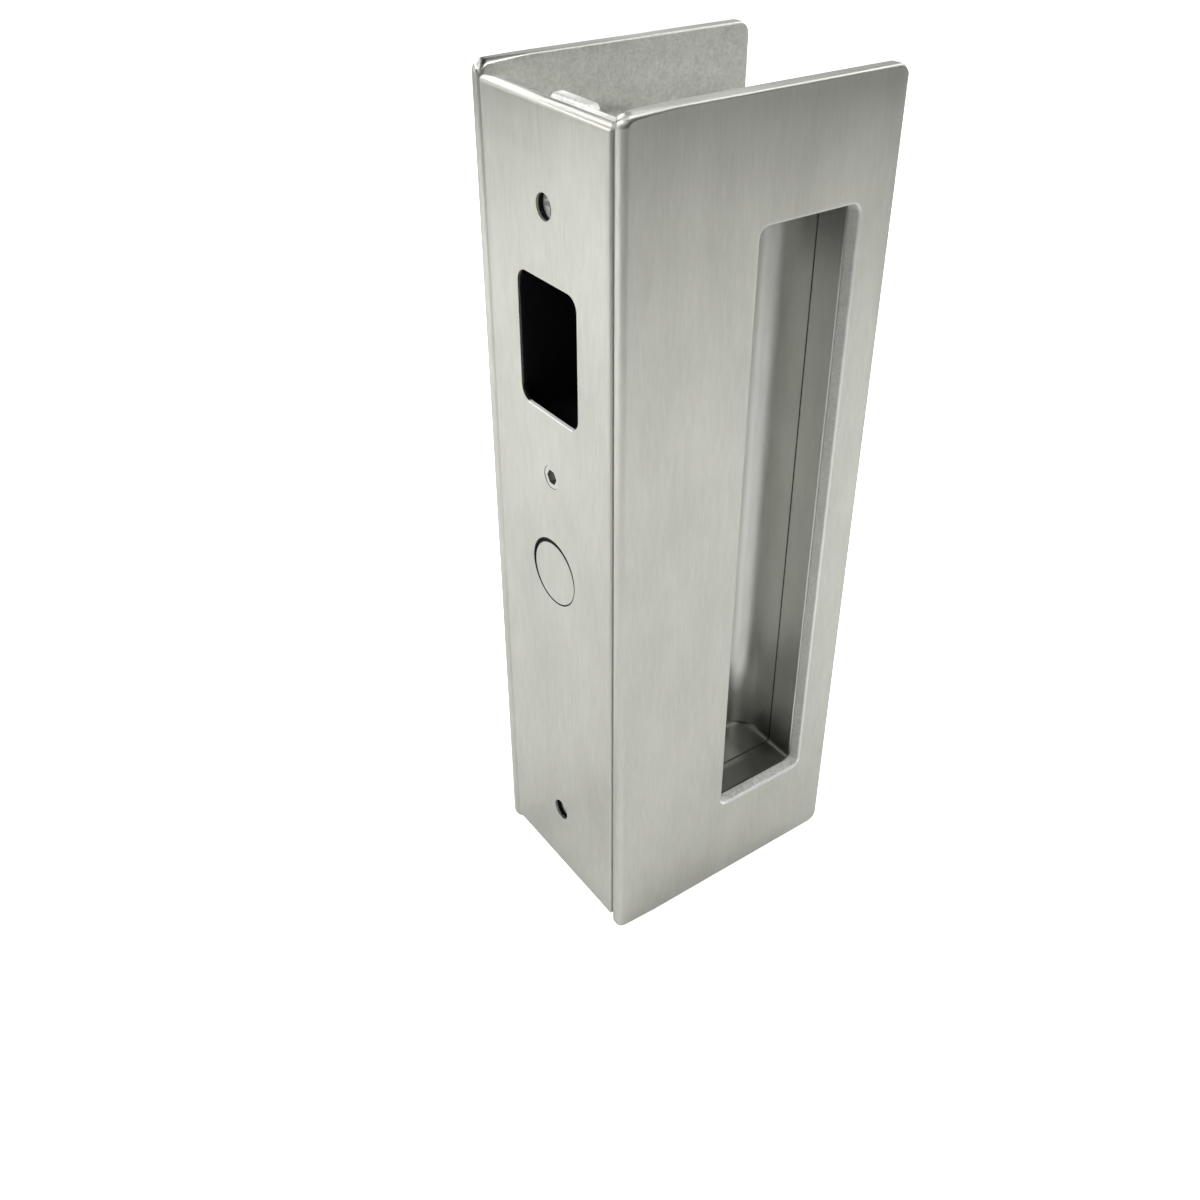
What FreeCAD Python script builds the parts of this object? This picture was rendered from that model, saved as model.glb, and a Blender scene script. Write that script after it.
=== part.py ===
import FreeCAD, Part
import math
import os

# Pocket door handle: a U-shaped saddle for the leading edge of a sliding door.
# Two side plates with deep flush pulls are held apart by a cast core, their front flanges overlap
# behind the edge plate, and the edge plate carries a finger window and a sprung magnet plunger.
# Millimetres. X runs across the door's thickness, Y into the door and Z up.
# The origin is under the middle of the handle, on the surface that it stands on.

# Overall handle
handle_height = 165.0
handle_depth = 55.5
door_thickness = 35.0
door_clearance = 0.7

# Side plates
plate_thickness = 2.85
plate_corner = 2.0
bead_outer_round = 1.1
bead_inner_round = 1.3
bead_fade = 7.0
plate_outer_round = 0.5
plate_inner_round = 0.4

# Front flanges of the side plates, one behind the other
front_flange_thickness = 1.5
rear_flange_thickness = 2.3
front_flange_end_gap = 1.85
rear_flange_end_gap = 9.8
flange_end_corner = 1.2
flange_notch_width = 13.9
flange_notch_depth = 6.0
flange_notch_offset = 1.45
rear_flange_drop = 3.0
rear_flange_drop_reach = 16.2
rear_flange_top_round = 1.0

# Edge plate
edge_plate_thickness = 1.3
edge_plate_inset = 1.9
edge_plate_seam = 0.06
edge_plate_corner = 1.1
edge_plate_end_round = 1.2
edge_plate_side_round = 0.35

# Flush pull in each side plate
recess_width = 21.4
recess_height = 123.3
recess_setback = 37.0
mouth_corner = 1.8
mouth_outer_round = 0.4
mouth_inner_break = 0.35
recess_corner = 1.0
recess_floor_round = 4.5
recess_end_round = 1.2
pull_web = 4.0
seam_break = 0.18

# Core casting between the two pulls
core_width = 22.5
core_wall = 2.1
core_end_block = 8.6
core_corner = 1.5
lightening_web = 3.0
lightening_margin = 3.5
lightening_rib = 2.5
lightening_count = 3
lightening_corner = 2.0

# Rims that bridge the core and the side plates
rim_wall = 2.0
rim_flange_thickness = 2.0
rim_front_reach = 7.0
rim_lug_width = 14.0

# Black moulded insert with the finger pocket and the plunger's bore
insert_wall = 1.6
insert_neck_reach = 9.9
insert_clearance = 0.1
insert_back_wall = 3.9
finger_undercut = 3.0
finger_side_clearance = 0.15
finger_back_round = 6.0
finger_side_round = 2.5

# Window of the edge plate
window_width = 17.3
window_height = 23.7
window_below_clamp = 23.9
window_corner = 2.5

# Magnet plunger
plunger_below_window = 44.29
plunger_radius = 6.45
plunger_face_thickness = 1.2
plunger_face_break = 0.15
plunger_skirt_wall = 1.25
plunger_length = 7.0
plunger_stop_thickness = 1.5
plunger_stop_reach = 1.1
plunger_plate_clearance = 0.16
plunger_running_clearance = 0.08
plunger_stop_gap = 0.1
magnet_length = 4.5
glue_line = 0.05
bush_wall = 2.0
bush_press_clearance = 0.02

# Plunger spring
spring_wire = 0.7
spring_mean_radius = 3.6
spring_open_turns = 4.5
spring_closed_pitch = 0.82
spring_steps_a_turn = 14
spring_wire_sides = 8
spring_pocket_depth = 17.0
spring_seat_gap = 0.05

# Flush screw of the edge plate
flush_screw_below_window = 24.05
flush_screw_radius = 2.2
flush_screw_length = 10.0
flush_screw_hex = 2.5
flush_screw_hex_depth = 2.2
flush_screw_clearance = 0.06
flush_screw_sink = 0.08

# Clamp screws and their square nuts
clamp_end_distance = 5.9
clamp_access_radius = 2.2
clamp_shank_radius = 2.0
clamp_head_radius = 3.7
clamp_head_depth = 1.9
clamp_head_sink = 0.1
clamp_length = 16.0
clamp_recess_span = 3.6
clamp_recess_slot = 0.9
clamp_recess_depth = 1.5
clamp_clearance = 0.15
clamp_slot_travel = 2.0
nut_width = 7.0
nut_thickness = 2.3
nut_depth_from_core = 5.0
nut_clearance = 0.1
thread_clearance = 0.03

# Countersunk screws that hold each rim to its side plate
rim_screw_radius = 1.45
rim_screw_head_radius = 2.8
rim_screw_head_depth = 1.4
rim_screw_bite = 1.9
rim_screw_edge = 3.3
rim_screw_slot = 0.7
rim_screw_slot_depth = 0.6
rim_screw_tip_gap = 0.1

# Dowels that locate the rims on the core
dowel_radius = 2.0
dowel_reach = 3.5
dowel_clearance = 0.03
dowel_end_break = 0.4

# Places that follow from the sizes above
front = -handle_depth / 2
middle = handle_height / 2
inner_face = (door_thickness + door_clearance) / 2
outer_face = inner_face + plate_thickness
front_flange_start = edge_plate_thickness
rear_flange_start = front_flange_start + front_flange_thickness
core_start = rear_flange_start + rear_flange_thickness
core_side = core_width / 2
recess_front = recess_setback - recess_width / 2
recess_back = recess_setback + recess_width / 2
core_back = recess_back + core_wall
core_height = recess_height + 2 * core_end_block
insert_back = recess_front - core_wall
clamp_reach = core_height / 2 - clamp_end_distance
window_height_at = middle + clamp_reach - window_below_clamp
plunger_height_at = window_height_at - plunger_below_window
flush_screw_height_at = window_height_at - flush_screw_below_window
bush_inner = plunger_radius + plunger_running_clearance
bush_outer = bush_inner + bush_wall
stop_radius = plunger_radius + plunger_stop_reach
magnet_radius = plunger_radius - plunger_skirt_wall - glue_line
magnet_back = plunger_face_thickness + magnet_length
stop_start = plunger_length - plunger_stop_thickness
head_start = front_flange_start + clamp_head_sink
insert_low = plunger_height_at - bush_outer - insert_wall
insert_high = window_height_at + window_height / 2 + finger_undercut + insert_wall
overrun = 1.0


def point(x, depth, z):
    """A point from its place across the door, its depth behind the front edge and its height."""
    return FreeCAD.Vector(x, front + depth, z)


def block(x_low, x_high, depth_low, depth_high, z_low, z_high):
    """A plain box between two limits in each direction."""
    corner = point(x_low, depth_low, z_low)
    return Part.makeBox(x_high - x_low, depth_high - depth_low, z_high - z_low, corner)


def rod(radius, start, end):
    """A cylinder between two points."""
    return Part.makeCylinder(radius, (end - start).Length, start, end - start)


def cone(radius_start, radius_end, start, end):
    """A cut cone between two points."""
    return Part.makeCone(radius_start, radius_end, (end - start).Length, start, end - start)


def rounded_prism(centre, across, upward, width, height, radius, push):
    """A rectangle with round corners about a centre, pushed out along a vector."""
    across = FreeCAD.Vector(across).normalize()
    upward = FreeCAD.Vector(upward).normalize()
    radius = min(radius, 0.49 * width, 0.49 * height)
    half_width = width / 2
    half_height = height / 2
    slack = radius * (1 - math.sqrt(0.5))

    def at(u, v):
        return centre + across * u + upward * v

    edges = []
    for side_u, side_v in ((1, 1), (-1, 1), (-1, -1), (1, -1)):
        on_side = at(side_u * half_width, side_v * (half_height - radius))
        on_end = at(side_u * (half_width - radius), side_v * half_height)
        on_arc = at(side_u * (half_width - slack), side_v * (half_height - slack))
        first, last = (on_side, on_end) if side_u == side_v else (on_end, on_side)
        if edges:
            edges.append(Part.LineSegment(edges[-1].Vertexes[-1].Point, first).toShape())
        edges.append(Part.Arc(first, on_arc, last).toShape())
    edges.append(Part.LineSegment(edges[-1].Vertexes[-1].Point, edges[0].Vertexes[0].Point).toShape())
    return Part.Face(Part.Wire(edges)).extrude(push)


def prism_across(x_low, x_high, depth_middle, z_middle, width, height, radius):
    """A rounded rectangle seen on the side of the handle, pushed across the door."""
    centre = point(x_low, depth_middle, z_middle)
    push = FreeCAD.Vector(x_high - x_low, 0, 0)
    return rounded_prism(centre, (0, 1, 0), (0, 0, 1), width, height, radius, push)


def prism_inward(depth_low, depth_high, x_middle, z_middle, width, height, radius):
    """A rounded rectangle seen on the edge of the door, pushed into the door."""
    centre = point(x_middle, depth_low, z_middle)
    push = FreeCAD.Vector(0, depth_high - depth_low, 0)
    return rounded_prism(centre, (1, 0, 0), (0, 0, 1), width, height, radius, push)


def prism_upward(z_low, z_high, x_middle, depth_middle, width, depth, radius):
    """A rounded rectangle seen from above, pushed upward."""
    centre = point(x_middle, depth_middle, z_low)
    push = FreeCAD.Vector(0, 0, z_high - z_low)
    return rounded_prism(centre, (1, 0, 0), (0, 1, 0), width, depth, radius, push)


def mirrored(shape):
    """The same shape on the other side of the door."""
    return shape.mirror(FreeCAD.Vector(0, 0, 0), FreeCAD.Vector(1, 0, 0))


def edges_at_x(shape, x, depth_low, depth_high, z_low, z_high):
    """Edges that lie in one plane across the door and inside a region of it."""
    found = []
    for edge in shape.Edges:
        box = edge.BoundBox
        flat = abs(box.XMin - x) < 1e-4 and abs(box.XMax - x) < 1e-4
        inside = box.YMin > front + depth_low - 1e-4 and box.YMax < front + depth_high + 1e-4
        level = box.ZMin > z_low - 1e-4 and box.ZMax < z_high + 1e-4
        if flat and inside and level:
            found.append(edge)
    return found


def recess_mouth_edges(shape, x):
    """The outline of the pull's mouth where it meets a plane across the door."""
    return edges_at_x(shape, x, recess_front, recess_back,
                      middle - recess_height / 2, middle + recess_height / 2)


def recess_opening(x_low, x_high, corner):
    """A straight-walled stretch of the flush pull."""
    return prism_across(x_low, x_high, recess_setback, middle, recess_width, recess_height, corner)


def flange_cutout(depth_low, depth_high, x_high):
    """The opening in a flange that lets the insert's neck through to the edge plate."""
    x_low = -insert_neck_reach - insert_clearance
    z_low = insert_low - insert_clearance
    z_high = insert_high + insert_clearance
    return prism_inward(depth_low, depth_high, (x_low + x_high) / 2, (z_low + z_high) / 2,
                        x_high - x_low, z_high - z_low, flange_end_corner)


def border_profile(place, outer_round, inner_round):
    """The outline of a side plate's border cut across, where place turns X and reach into a point."""
    outer_slack = outer_round * (1 - math.sqrt(0.5))
    inner_slack = inner_round * (1 - math.sqrt(0.5))
    outer_wall = place(outer_face, plate_corner - outer_round)
    outer_arc = place(outer_face - outer_slack, plate_corner - outer_slack)
    outer_rim = place(outer_face - outer_round, plate_corner)
    inner_rim = place(inner_face + inner_round, plate_corner)
    inner_arc = place(inner_face + inner_slack, plate_corner - inner_slack)
    inner_wall = place(inner_face, plate_corner - inner_round)
    inner_foot = place(inner_face, 0)
    outer_foot = place(outer_face, 0)
    return Part.Wire([
        Part.LineSegment(inner_foot, outer_foot).toShape(),
        Part.LineSegment(outer_foot, outer_wall).toShape(),
        Part.Arc(outer_wall, outer_arc, outer_rim).toShape(),
        Part.LineSegment(outer_rim, inner_rim).toShape(),
        Part.Arc(inner_rim, inner_arc, inner_wall).toShape(),
        Part.LineSegment(inner_wall, inner_foot).toShape()])


def bead_border():
    """A side plate's upper front border: a full bead, turned over the corner and fading along the top."""
    rounds = (bead_outer_round, bead_inner_round)
    top = handle_height - plate_corner
    fade_end = plate_corner + bead_fade
    low = border_profile(lambda x, reach: point(x, plate_corner - reach, middle), *rounds)
    bead = Part.Face(low).extrude(FreeCAD.Vector(0, 0, top - middle))
    turn_start = border_profile(lambda x, reach: point(x, plate_corner - reach, top), *rounds)
    corner = Part.Face(turn_start).revolve(point(0, plate_corner, top), FreeCAD.Vector(-1, 0, 0), 90)
    fade_from = border_profile(lambda x, reach: point(x, plate_corner, top + reach), *rounds)
    fade_to = border_profile(lambda x, reach: point(x, fade_end, top + reach),
                             plate_outer_round, plate_inner_round)
    return [bead, corner, Part.makeLoft([fade_from, fade_to], True, True)]


def plain_border():
    """The rest of a side plate's upper border: along the top, over the rear corner and down the back."""
    rounds = (plate_outer_round, plate_inner_round)
    top = handle_height - plate_corner
    start = plate_corner + bead_fade
    back = handle_depth - plate_corner
    first = border_profile(lambda x, reach: point(x, start, top + reach), *rounds)
    along = Part.Face(first).extrude(FreeCAD.Vector(0, back - start, 0))
    turn_start = border_profile(lambda x, reach: point(x, back, top + reach), *rounds)
    corner = Part.Face(turn_start).revolve(point(0, back, top), FreeCAD.Vector(-1, 0, 0), 90)
    down = border_profile(lambda x, reach: point(x, back + reach, top), *rounds)
    return [along, corner, Part.Face(down).extrude(FreeCAD.Vector(0, 0, middle - top))]


def plate_blank():
    """One side plate with its bead in front, softened edges and the pull's mouth."""
    upper = bead_border() + plain_border()
    lower = [piece.mirror(FreeCAD.Vector(0, 0, middle), FreeCAD.Vector(0, 0, 1)) for piece in upper]
    slab = block(inner_face, outer_face, plate_corner, handle_depth - plate_corner,
                 plate_corner, handle_height - plate_corner)
    slab = slab.multiFuse(upper + lower).removeSplitter()
    slab = slab.cut(recess_opening(inner_face - overrun, outer_face + overrun, mouth_corner))
    slab = slab.makeFillet(mouth_outer_round, recess_mouth_edges(slab, outer_face))
    return slab.makeChamfer(mouth_inner_break, recess_mouth_edges(slab, inner_face))


def rim_screw_places():
    """Depth and height of the screws through one rim's flange."""
    near = recess_front - rim_wall - rim_front_reach + rim_screw_edge
    far = recess_back + rim_wall - rim_screw_edge
    reach = core_height / 2 - rim_screw_edge
    corners = [(depth, middle + side * reach) for depth in (near, far) for side in (-1, 1)]
    return corners + [(near, middle)]


def rim_screw_bores():
    """Blind holes in the side plate for the rim's screws."""
    radius = rim_screw_radius + thread_clearance
    tip = inner_face + rim_screw_bite + rim_screw_tip_gap
    return [rod(radius, point(inner_face - overrun, depth, z), point(tip, depth, z))
            for depth, z in rim_screw_places()]


def clamp_heights():
    """Heights of the upper and the lower clamp screw."""
    return {"upper": middle + clamp_reach, "lower": middle - clamp_reach}


def clamp_head_cone(z, growth):
    """The countersunk head's cone, grown by a clearance."""
    start = point(0, head_start - growth, z)
    end = point(0, head_start + clamp_head_depth, z)
    return cone(clamp_head_radius + 2 * growth, clamp_shank_radius + growth, start, end)


def clamp_slot(depth_low, depth_high, z):
    """A slot that lets one flange slide across the clamp screw as the plates close on the door."""
    height = 2 * (clamp_shank_radius + clamp_clearance) + clamp_head_depth
    return prism_inward(depth_low, depth_high, 0, z, height + clamp_slot_travel, height, height / 2)


def front_flange():
    """The near plate's return, which lies straight behind the edge plate."""
    x_low = -inner_face + front_flange_end_gap
    x_high = inner_face + plate_thickness / 2
    height = handle_height - 2 * edge_plate_inset
    depth_high = front_flange_start + front_flange_thickness
    sheet = prism_inward(front_flange_start, depth_high, (x_low + x_high) / 2, middle,
                         x_high - x_low, height, flange_end_corner)
    square_end = block(inner_face - flange_end_corner, x_high, front_flange_start, depth_high,
                       edge_plate_inset, handle_height - edge_plate_inset)
    sheet = sheet.fuse(square_end)
    past_front = front_flange_start - overrun
    past_back = depth_high + overrun
    sheet = sheet.cut(flange_cutout(past_front, past_back, insert_neck_reach + insert_clearance))
    for side in (-1, 1):
        z = middle + side * height / 2
        notch = prism_inward(past_front, past_back, flange_notch_offset, z, flange_notch_width,
                             2 * flange_notch_depth, flange_end_corner)
        sheet = sheet.cut(notch)
    for z in clamp_heights().values():
        sheet = sheet.cut(clamp_head_cone(z, clamp_clearance))
    return sheet


def rear_flange():
    """The far plate's return, which lies behind the near plate's and on the core."""
    x_low = -inner_face - plate_thickness / 2
    x_high = inner_face - rear_flange_end_gap
    height = handle_height - 2 * edge_plate_inset
    depth_high = rear_flange_start + rear_flange_thickness
    sheet = prism_inward(rear_flange_start, depth_high, (x_low + x_high) / 2, middle,
                         x_high - x_low, height, flange_end_corner)
    square_end = block(x_low, -inner_face + flange_end_corner, rear_flange_start, depth_high,
                       edge_plate_inset, handle_height - edge_plate_inset)
    sheet = sheet.fuse(square_end)
    past_front = rear_flange_start - overrun
    past_back = depth_high + overrun
    sheet = sheet.cut(flange_cutout(past_front, past_back, inner_face))
    for side in (-1, 1):
        z = middle + side * height / 2
        drop = prism_inward(past_front, past_back, -inner_face, z, 2 * rear_flange_drop_reach,
                            2 * rear_flange_drop, flange_end_corner)
        beyond = block(-2 * inner_face, -inner_face, past_front, past_back, 0, handle_height)
        sheet = sheet.cut(drop.cut(beyond))
    for z in clamp_heights().values():
        sheet = sheet.cut(clamp_slot(past_front, past_back, z))
    return sheet.common(rear_flange_rounding(height))


def rear_flange_rounding(height):
    """A body that rounds the rear flange's front edge where it ends at the top and at the bottom."""
    depth = 2 * rear_flange_thickness + overrun
    centre = point(-2 * inner_face, rear_flange_start + depth / 2, middle)
    return rounded_prism(centre, (0, 1, 0), (0, 0, 1), depth, height, rear_flange_top_round,
                         FreeCAD.Vector(4 * inner_face, 0, 0))


def side_plate_right():
    """The near side plate with the front flange, folded as one piece."""
    plate = plate_blank()
    for bore in rim_screw_bores():
        plate = plate.cut(bore)
    return plate.fuse(front_flange()).removeSplitter()


def side_plate_left():
    """The far side plate with the rear flange, folded as one piece."""
    plate = plate_blank()
    for bore in rim_screw_bores():
        plate = plate.cut(bore)
    return mirrored(plate).fuse(rear_flange()).removeSplitter()


def edge_plate():
    """The flat plate that covers both flanges on the door's leading edge."""
    width = 2 * (inner_face - edge_plate_seam)
    height = handle_height - 2 * edge_plate_inset
    plate = prism_inward(0, edge_plate_thickness, 0, middle, width, height, edge_plate_corner)
    plate = plate.cut(window_opening(-overrun, edge_plate_thickness + overrun))
    for radius, z in edge_plate_holes():
        plate = plate.cut(rod(radius, point(0, -overrun, z), point(0, edge_plate_thickness + overrun, z)))
    return soften_ends(plate, height)


def soften_ends(plate, height):
    """Rounds the edge plate's front edge, fully at its two ends and a little along its sides."""
    width = 2 * (inner_face - edge_plate_seam)
    depth = 4 * edge_plate_thickness
    ends = rounded_prism(point(-width, depth / 2, middle), (0, 1, 0), (0, 0, 1),
                         depth, height, edge_plate_end_round, FreeCAD.Vector(2 * width, 0, 0))
    sides = prism_upward(-overrun, handle_height + overrun, 0, depth / 2, width, depth,
                         edge_plate_side_round)
    return plate.common(ends).common(sides)


def window_opening(depth_low, depth_high):
    """The window through which a finger reaches into the pocket."""
    return prism_inward(depth_low, depth_high, 0, window_height_at,
                        window_width, window_height, window_corner)


def edge_plate_holes():
    """Radius and height of the round holes of the edge plate."""
    holes = [(clamp_access_radius, z) for z in clamp_heights().values()]
    holes.append((flush_screw_radius + flush_screw_clearance, flush_screw_height_at))
    holes.append((plunger_radius + plunger_plate_clearance, plunger_height_at))
    return holes


def pull_rim():
    """The frame between the core and one side plate, with a screwed flange and two dowel lugs."""
    outer_width = recess_width + 2 * rim_wall
    outer_height = recess_height + 2 * rim_wall
    frame = prism_across(core_side, inner_face, recess_setback, middle, outer_width, outer_height,
                         recess_corner + rim_wall)
    flange_front = recess_front - rim_wall - rim_front_reach
    flange_back = recess_back + rim_wall
    flange = prism_across(inner_face - rim_flange_thickness, inner_face, (flange_front + flange_back) / 2,
                          middle, flange_back - flange_front, core_height, recess_corner)
    lug_half = rim_lug_width / 2
    lug = block(core_side, inner_face, recess_setback - lug_half, recess_setback + lug_half,
                middle - core_height / 2, middle + core_height / 2)
    rim = frame.fuse(flange).fuse(lug)
    rim = rim.cut(recess_opening(core_side - overrun, inner_face + overrun, recess_corner)).removeSplitter()
    mouth = recess_mouth_edges(rim, core_side) + recess_mouth_edges(rim, inner_face)
    rim = rim.makeChamfer(seam_break, mouth)
    head_radius = rim_screw_head_radius + thread_clearance
    shank_radius = rim_screw_radius + thread_clearance
    for depth, z in rim_screw_places():
        start = point(inner_face - rim_flange_thickness, depth, z)
        neck = start + FreeCAD.Vector(rim_screw_head_depth, 0, 0)
        rim = rim.cut(cone(head_radius, shank_radius, start, neck))
        rim = rim.cut(rod(shank_radius, start, point(inner_face + overrun, depth, z)))
    for z in dowel_heights():
        start = point(core_side - overrun, recess_setback, z)
        end = point(core_side + dowel_reach + dowel_clearance, recess_setback, z)
        rim = rim.cut(rod(dowel_radius + dowel_clearance, start, end))
    return rim


def dowel_heights():
    """Heights of the dowels, in the middle of the core's end blocks."""
    reach = core_height / 2 - (core_end_block - rim_wall) / 2
    return [middle - reach, middle + reach]


def pan_cavity():
    """The deep end of one pull inside the core, with a round where its walls meet the floor."""
    floor = pull_web / 2
    rise = 4 * (core_side - floor)
    low = middle - recess_height / 2
    high = middle + recess_height / 2
    walls = prism_across(floor, core_side + overrun, recess_setback, middle,
                         recess_width, recess_height, recess_corner)
    along = prism_upward(low, high, floor + rise / 2, recess_setback, rise, recess_width,
                         recess_floor_round)
    centre = point(floor + rise / 2, recess_front, middle)
    ends = rounded_prism(centre, (1, 0, 0), (0, 0, 1), rise, recess_height, recess_end_round,
                         FreeCAD.Vector(0, recess_width, 0))
    return walls.common(along).common(ends)


def lightening_pockets():
    """Ribbed pockets that thin the core's lower front block, for one side."""
    z_low = middle - clamp_reach + nut_width / 2 + lightening_margin
    z_high = insert_low - insert_clearance - lightening_margin
    pitch = (z_high - z_low + lightening_rib) / lightening_count
    depth_low = core_start + lightening_margin
    depth_high = insert_back - lightening_margin / 2
    pockets = []
    for index in range(lightening_count):
        z = z_low + pitch * (index + 0.5) - lightening_rib / 2
        pockets.append(prism_across(lightening_web / 2, core_side + overrun,
                                    (depth_low + depth_high) / 2, z,
                                    depth_high - depth_low, pitch - lightening_rib, lightening_corner))
    return pockets


def core_body():
    """The casting that carries both pulls back to back and everything behind the edge plate."""
    core = prism_across(-core_side, core_side, (core_start + core_back) / 2, middle,
                        core_back - core_start, core_height, core_corner)
    core = core.cut(block(-core_side - overrun, core_side + overrun, core_start - overrun, insert_back,
                          insert_low - insert_clearance, insert_high + insert_clearance))
    cuts = [pan_cavity()] + lightening_pockets()
    for cut in cuts:
        core = core.cut(cut).cut(mirrored(cut))
    for name, z in clamp_heights().items():
        core = core.cut(clamp_bore(z)).cut(nut_pocket(name, z))
    for z in dowel_heights():
        core = core.cut(rod(dowel_radius + dowel_clearance, point(-core_side - overrun, recess_setback, z),
                            point(core_side + overrun, recess_setback, z)))
    return core


def clamp_bore(z):
    """The clearance hole in the core behind one clamp screw."""
    end = head_start + clamp_length + overrun
    return rod(clamp_shank_radius + clamp_clearance, point(0, core_start - overrun, z), point(0, end, z))


def nut_pocket(name, z):
    """The slot that a square nut slides into from the end of the core."""
    half = nut_width / 2 + nut_clearance
    near = core_start + nut_depth_from_core
    far = near + nut_thickness + nut_clearance
    if name == "upper":
        return block(-half, half, near, far, z - half, middle + core_height / 2 + overrun)
    return block(-half, half, near, far, middle - core_height / 2 - overrun, z + half)


def clamp_nut(z):
    """A square nut in its slot, threaded on the clamp screw."""
    half = nut_width / 2
    near = core_start + nut_depth_from_core
    nut = block(-half, half, near, near + nut_thickness, z - half, z + half)
    start = point(0, near - overrun, z)
    end = point(0, near + nut_thickness + overrun, z)
    return nut.cut(rod(clamp_shank_radius + thread_clearance, start, end))


def clamp_screw(z):
    """A countersunk cross-head screw that draws both flanges onto the core."""
    head_end = head_start + clamp_head_depth
    screw = clamp_head_cone(z, 0)
    shank = rod(clamp_shank_radius, point(0, head_end, z), point(0, head_start + clamp_length, z))
    screw = screw.fuse(shank).removeSplitter()
    span = clamp_recess_span / 2
    slot = clamp_recess_slot / 2
    low = head_start - overrun
    high = head_start + clamp_recess_depth
    screw = screw.cut(block(-span, span, low, high, z - slot, z + slot))
    return screw.cut(block(-slot, slot, low, high, z - span, z + span))


def finger_insert():
    """The black moulding with the finger pocket above and the plunger's stepped bore below."""
    height = insert_high - insert_low
    z = (insert_high + insert_low) / 2
    neck = prism_inward(edge_plate_thickness, core_start + overrun, 0, z, 2 * insert_neck_reach,
                        height, flange_end_corner)
    body = block(-core_side, core_side, core_start, insert_back - insert_clearance, insert_low, insert_high)
    insert = neck.fuse(body)
    insert = insert.cut(finger_pocket())
    start = point(0, edge_plate_thickness - overrun, plunger_height_at)
    bush_seat = point(0, bush_end(), plunger_height_at)
    pocket_end = point(0, spring_pocket_depth, plunger_height_at)
    insert = insert.cut(rod(bush_outer + bush_press_clearance, start, bush_seat))
    insert = insert.cut(rod(stop_radius + plunger_running_clearance, start, pocket_end))
    screw_end = point(0, flush_screw_length + overrun, flush_screw_height_at)
    screw_start = point(0, edge_plate_thickness - overrun, flush_screw_height_at)
    insert = insert.cut(rod(flush_screw_radius + thread_clearance, screw_start, screw_end))
    return insert.removeSplitter()


def bush_end():
    """Depth of the bush's back face, which stops the plunger's shoulder."""
    return stop_start - plunger_stop_gap


def finger_pocket():
    """The hollow behind the window, taller than it so that a finger can hook the edge plate."""
    pocket_back = insert_back - insert_back_wall
    start = edge_plate_thickness - overrun
    width = window_width + 2 * finger_side_clearance
    height = window_height + 2 * finger_undercut
    run = pocket_back - start
    across = prism_upward(window_height_at - height / 2, window_height_at + height / 2, 0,
                          pocket_back - run, width, 2 * run, finger_side_round)
    centre = point(-width / 2, pocket_back - run, window_height_at)
    upward = rounded_prism(centre, (0, 1, 0), (0, 0, 1), 2 * run, height, finger_back_round,
                           FreeCAD.Vector(width, 0, 0))
    front_half = block(-width, width, start, pocket_back + overrun,
                       window_height_at - height, window_height_at + height)
    return across.common(upward).common(front_half)


def plunger_axis(depth):
    """A point on the plunger's axis at a depth behind the front edge."""
    return point(0, depth, plunger_height_at)


def plunger_cap():
    """The cup whose face is the round disc in the edge plate, with a stop shoulder at its back."""
    cap = rod(plunger_radius, plunger_axis(0), plunger_axis(plunger_length))
    face_edges = [edge for edge in cap.Edges if edge.BoundBox.YMax < front + 1e-4]
    cap = cap.makeChamfer(plunger_face_break, face_edges)
    cap = cap.fuse(rod(stop_radius, plunger_axis(stop_start), plunger_axis(plunger_length)))
    hollow = rod(plunger_radius - plunger_skirt_wall, plunger_axis(plunger_face_thickness),
                 plunger_axis(plunger_length + overrun))
    return cap.cut(hollow).removeSplitter()


def plunger_magnet():
    """The round magnet glued into the cap."""
    return rod(magnet_radius, plunger_axis(plunger_face_thickness), plunger_axis(magnet_back))


def plunger_bush():
    """The brass bush that guides the cap's skirt and stops its shoulder."""
    start = plunger_axis(edge_plate_thickness)
    end = plunger_axis(bush_end())
    bush = rod(bush_outer, start, end)
    return bush.cut(rod(bush_inner, plunger_axis(0), plunger_axis(plunger_length)))


def spring_rise(turn):
    """How far along its axis the coil has climbed after some turns; its first and last turns are closed."""
    low = magnet_back + spring_seat_gap + spring_wire / 2
    high = spring_pocket_depth - spring_seat_gap - spring_wire / 2
    open_pitch = (high - low - 2 * spring_closed_pitch) / spring_open_turns
    closed_start = min(turn, 1.0)
    opened = min(max(turn - 1.0, 0.0), spring_open_turns)
    closed_end = max(turn - 1.0 - spring_open_turns, 0.0)
    return low + (closed_start + closed_end) * spring_closed_pitch + opened * open_pitch


def plunger_spring():
    """The coil spring between the magnet and the bottom of the bore, with one closed turn at each end."""
    steps = round((spring_open_turns + 2) * spring_steps_a_turn)
    rings = []
    for step in range(steps + 1):
        turn = step / spring_steps_a_turn
        angle = 2 * math.pi * turn
        outward = FreeCAD.Vector(math.cos(angle), 0, math.sin(angle))
        centre = plunger_axis(spring_rise(turn)) + outward * spring_mean_radius
        corners = []
        for side in range(spring_wire_sides + 1):
            around = 2 * math.pi * side / spring_wire_sides
            offset = outward * math.cos(around) + FreeCAD.Vector(0, math.sin(around), 0)
            corners.append(centre + offset * (spring_wire / 2))
        rings.append(Part.makePolygon(corners))
    return Part.makeLoft(rings, True, True)


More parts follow.
